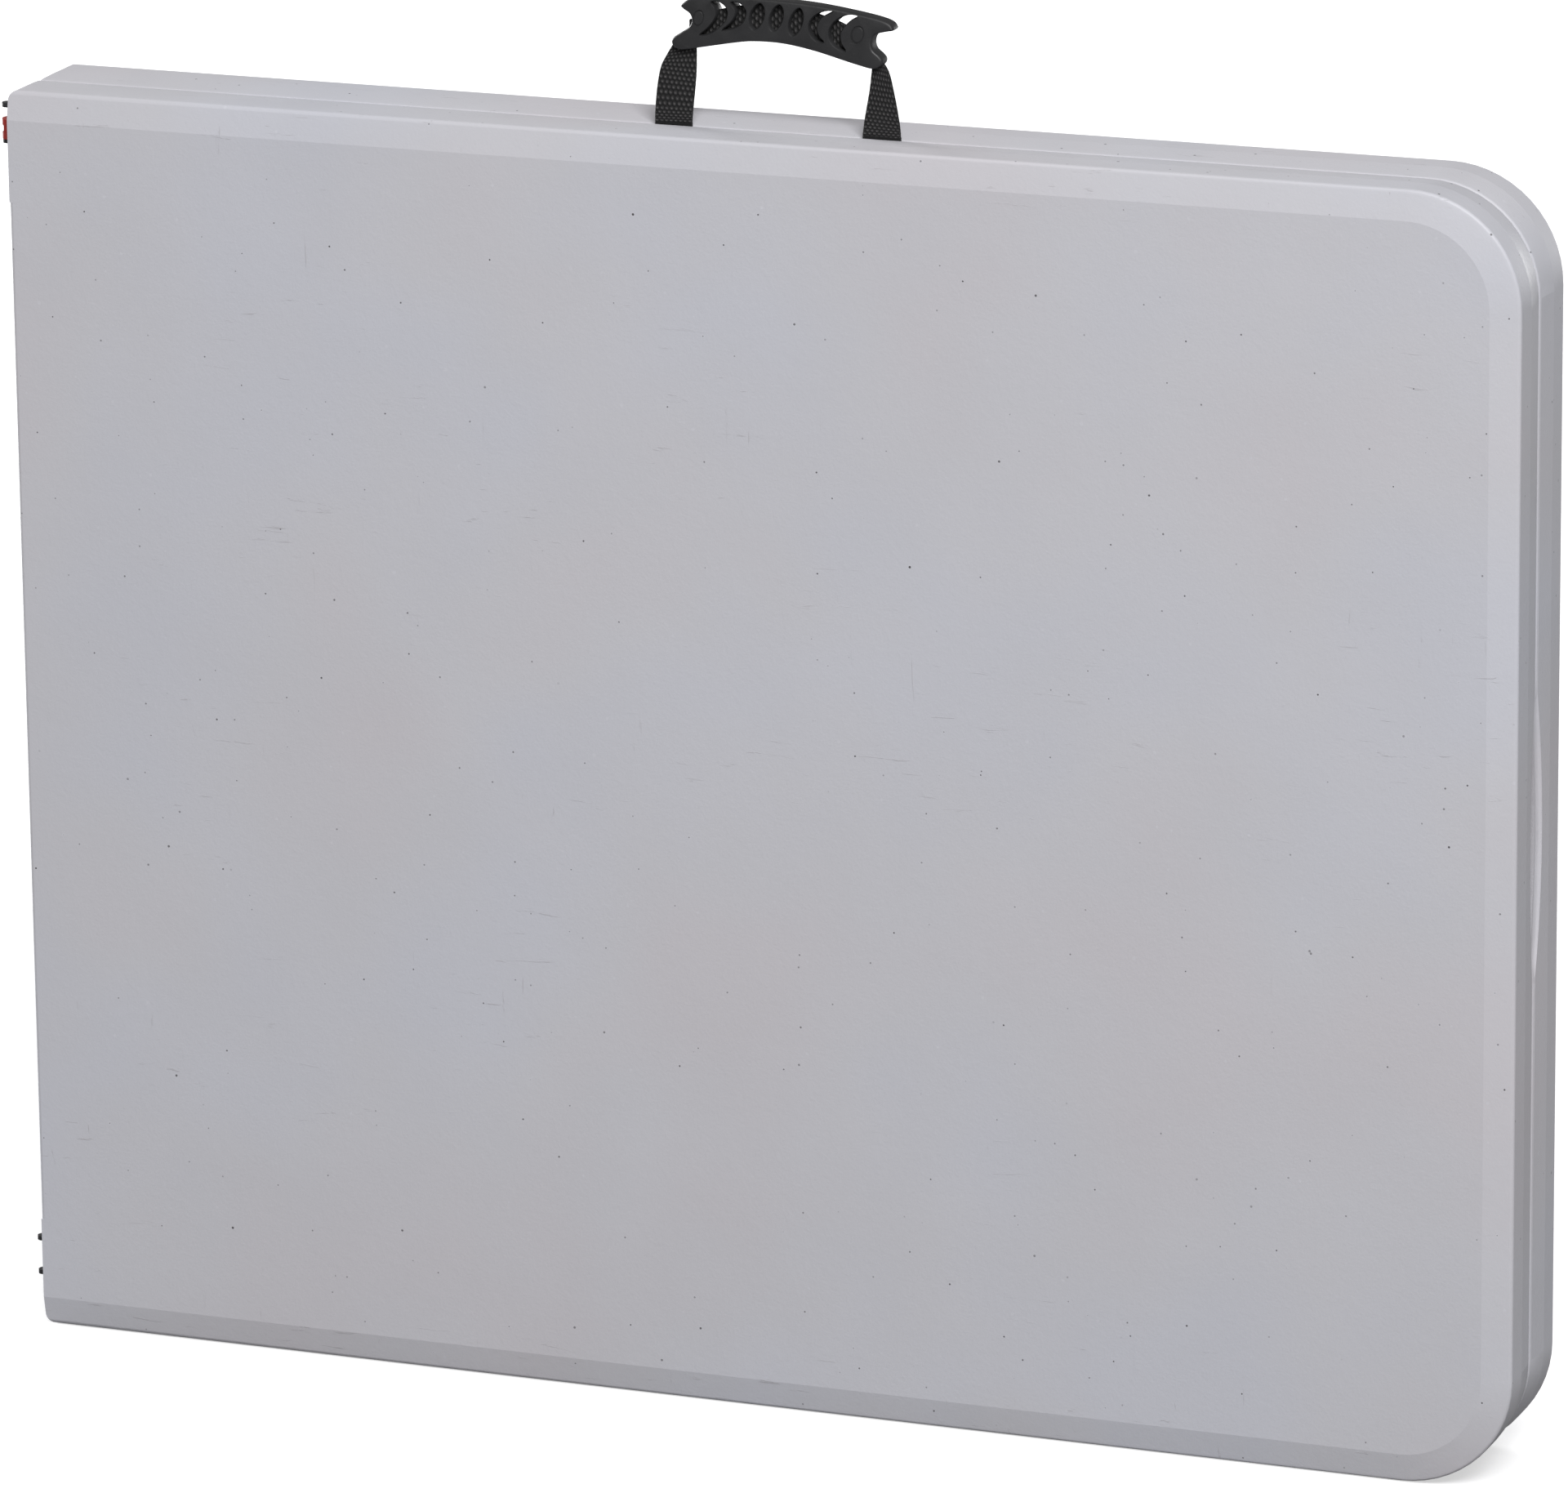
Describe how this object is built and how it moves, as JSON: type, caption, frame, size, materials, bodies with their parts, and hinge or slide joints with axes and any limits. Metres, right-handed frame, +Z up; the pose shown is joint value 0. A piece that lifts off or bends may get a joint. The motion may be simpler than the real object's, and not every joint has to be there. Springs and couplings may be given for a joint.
{
  "type": "folding table",
  "caption": "Fold-in-half moulded plastic table, folded, with carry handle, side hinges, red lock and fold-out legs of guessed design.",
  "frame": {"origin": "centre of the bounding box in X and Y, on the floor face of the long side it stands on", "axes": "+Z up along the table's width, +X from the fold hinge to the far end, -Y out of the front tabletop"},
  "size_m": [0.923, 0.086, 0.8142],
  "materials": {
    "hdpe_panel": "fine pebbled moulded plastic",
    "black_steel": "satin black powder coat",
    "grey_steel": "hammered grey powder coat",
    "zinc_steel": "zinc plated",
    "black_plastic": "moulded black plastic",
    "foot_rubber": "matt rubber",
    "red_plastic": "moulded red plastic",
    "webbing": "woven webbing",
    "grip_plastic": "soft moulded plastic"
  },
  "bodies": {
    "half_front": {"panel_front": "hdpe_panel", "rail_front_lower": "grey_steel", "rail_front_upper": "grey_steel", "rail_plugs_front": "black_plastic", "rail_screws_front": "zinc_steel", "hinge_leaf_front_lower": "black_steel", "hinge_leaf_front_upper": "black_steel", "hinge_rivets_front": "zinc_steel", "hinge_pin_lower": "zinc_steel", "hinge_pin_upper": "zinc_steel", "lock_spring": "zinc_steel", "leg_bracket_front_lower": "black_steel", "leg_bracket_front_upper": "black_steel", "bracket_screws_front": "zinc_steel", "brace_bracket_front": "black_steel", "strap_tail_left": "webbing", "strap_tail_right": "webbing", "strap_plates": "zinc_steel"},
    "half_rear": {"panel_rear": "hdpe_panel", "rail_rear_lower": "grey_steel", "rail_rear_upper": "grey_steel", "rail_plugs_rear": "black_plastic", "rail_screws_rear": "zinc_steel", "hinge_leaf_rear_lower": "black_steel", "hinge_leaf_rear_upper": "black_steel", "hinge_rivets_rear": "zinc_steel", "leg_bracket_rear_lower": "black_steel", "leg_bracket_rear_upper": "black_steel", "bracket_screws_rear": "zinc_steel", "brace_bracket_rear": "black_steel"},
    "leg_frame_front": {"pivot_rod_front": "grey_steel", "leg_tube_front_lower": "grey_steel", "leg_tube_front_upper": "grey_steel", "leg_lugs_front": "black_plastic", "cross_bar_front": "grey_steel"},
    "leg_frame_rear": {"pivot_rod_rear": "grey_steel", "leg_tube_rear_lower": "grey_steel", "leg_tube_rear_upper": "grey_steel", "leg_lugs_rear": "black_plastic", "cross_bar_rear": "grey_steel"},
    "foot_legs_front": {"inner_leg_front_lower": "zinc_steel", "inner_leg_front_upper": "zinc_steel", "feet_front": "foot_rubber"},
    "foot_legs_rear": {"inner_leg_rear_lower": "zinc_steel", "inner_leg_rear_upper": "zinc_steel", "feet_rear": "foot_rubber"},
    "collar_a": {"collar_front_lower": "black_plastic"},
    "collar_b": {"collar_front_upper": "black_plastic"},
    "collar_c": {"collar_rear_lower": "black_plastic"},
    "collar_d": {"collar_rear_upper": "black_plastic"},
    "brace_top_front": {"brace_upper_front": "grey_steel"},
    "brace_leg_front": {"brace_lower_front": "grey_steel"},
    "brace_top_rear": {"brace_upper_rear": "grey_steel"},
    "brace_leg_rear": {"brace_lower_rear": "grey_steel"},
    "lock": {"lock_lever": "red_plastic"},
    "handle": {"handle_webbing": "webbing", "handle_grip": "grip_plastic"}
  },
  "joints": [
    {"name": "half_fold", "type": "hinge", "parent": "half_front", "child": "half_rear", "pos_m": [-0.43925, 0, 0.37], "axis": [0, 0, 1], "range_deg": [0, 180]},
    {"name": "leg_front_swing", "type": "hinge", "parent": "half_front", "child": "leg_frame_front", "pos_m": [0.3915, -0.0135, 0.355], "axis": [0, 0, -1], "range_deg": [0, 90]},
    {"name": "leg_rear_swing", "type": "hinge", "parent": "half_rear", "child": "leg_frame_rear", "pos_m": [0.3915, 0.0135, 0.385], "axis": [0, 0, 1], "range_deg": [0, 90]},
    {"name": "leg_front_extend", "type": "slide", "parent": "leg_frame_front", "child": "foot_legs_front", "axis": [-1, 0, 0], "range_m": [0, 0.1135]},
    {"name": "leg_rear_extend", "type": "slide", "parent": "leg_frame_rear", "child": "foot_legs_rear", "axis": [-1, 0, 0], "range_m": [0, 0.1135]},
    {"name": "brace_top_front_swing", "type": "hinge", "parent": "half_front", "child": "brace_top_front", "pos_m": [0.0815, -0.016, 0.353], "axis": [0, 0, 1], "range_deg": [0, 37.8]},
    {"name": "brace_leg_front_swing", "type": "hinge", "parent": "leg_frame_front", "child": "brace_leg_front", "pos_m": [0.0615, -0.0135, 0.357], "axis": [0, 0, -1], "range_deg": [0, 34]},
    {"name": "brace_top_rear_swing", "type": "hinge", "parent": "half_rear", "child": "brace_top_rear", "pos_m": [0.0815, 0.016, 0.387], "axis": [0, 0, -1], "range_deg": [0, 37.8]},
    {"name": "brace_leg_rear_swing", "type": "hinge", "parent": "leg_frame_rear", "child": "brace_leg_rear", "pos_m": [0.0615, 0.0135, 0.383], "axis": [0, 0, 1], "range_deg": [0, 34]},
    {"name": "collar_a_twist", "type": "hinge", "parent": "leg_frame_front", "child": "collar_a", "pos_m": [-0.0885, -0.0135, 0.075], "axis": [1, 0, 0], "range_deg": [0, 90]},
    {"name": "collar_b_twist", "type": "hinge", "parent": "leg_frame_front", "child": "collar_b", "pos_m": [-0.0885, -0.0135, 0.635], "axis": [1, 0, 0], "range_deg": [0, 90]},
    {"name": "collar_c_twist", "type": "hinge", "parent": "leg_frame_rear", "child": "collar_c", "pos_m": [-0.0885, 0.0135, 0.105], "axis": [1, 0, 0], "range_deg": [0, 90]},
    {"name": "collar_d_twist", "type": "hinge", "parent": "leg_frame_rear", "child": "collar_d", "pos_m": [-0.0885, 0.0135, 0.665], "axis": [1, 0, 0], "range_deg": [0, 90]},
    {"name": "lock_release", "type": "hinge", "parent": "half_front", "child": "lock", "pos_m": [-0.43925, 0, 0.709], "axis": [0, 0, 1], "range_deg": [0, 25], "stiffness_Nm_per_rad": 0.4},
    {"name": "handle_swing", "type": "hinge", "parent": "half_front", "child": "handle", "pos_m": [0.0165, -0.0013, 0.74], "axis": [1, 0, 0], "range_deg": [-60, 60]}
  ],
  "couplings": [
    {"joint": "leg_front_swing", "follows": "half_fold", "ratio": 0.5},
    {"joint": "leg_rear_swing", "follows": "half_fold", "ratio": 0.5},
    {"joint": "leg_front_extend", "follows": "half_fold", "m_per_rad": 0.036128},
    {"joint": "leg_rear_extend", "follows": "half_fold", "m_per_rad": 0.036128},
    {"joint": "brace_top_front_swing", "follows": "half_fold", "ratio": 0.21},
    {"joint": "brace_leg_front_swing", "follows": "half_fold", "ratio": 0.18889},
    {"joint": "brace_top_rear_swing", "follows": "half_fold", "ratio": 0.21},
    {"joint": "brace_leg_rear_swing", "follows": "half_fold", "ratio": 0.18889}
  ]
}
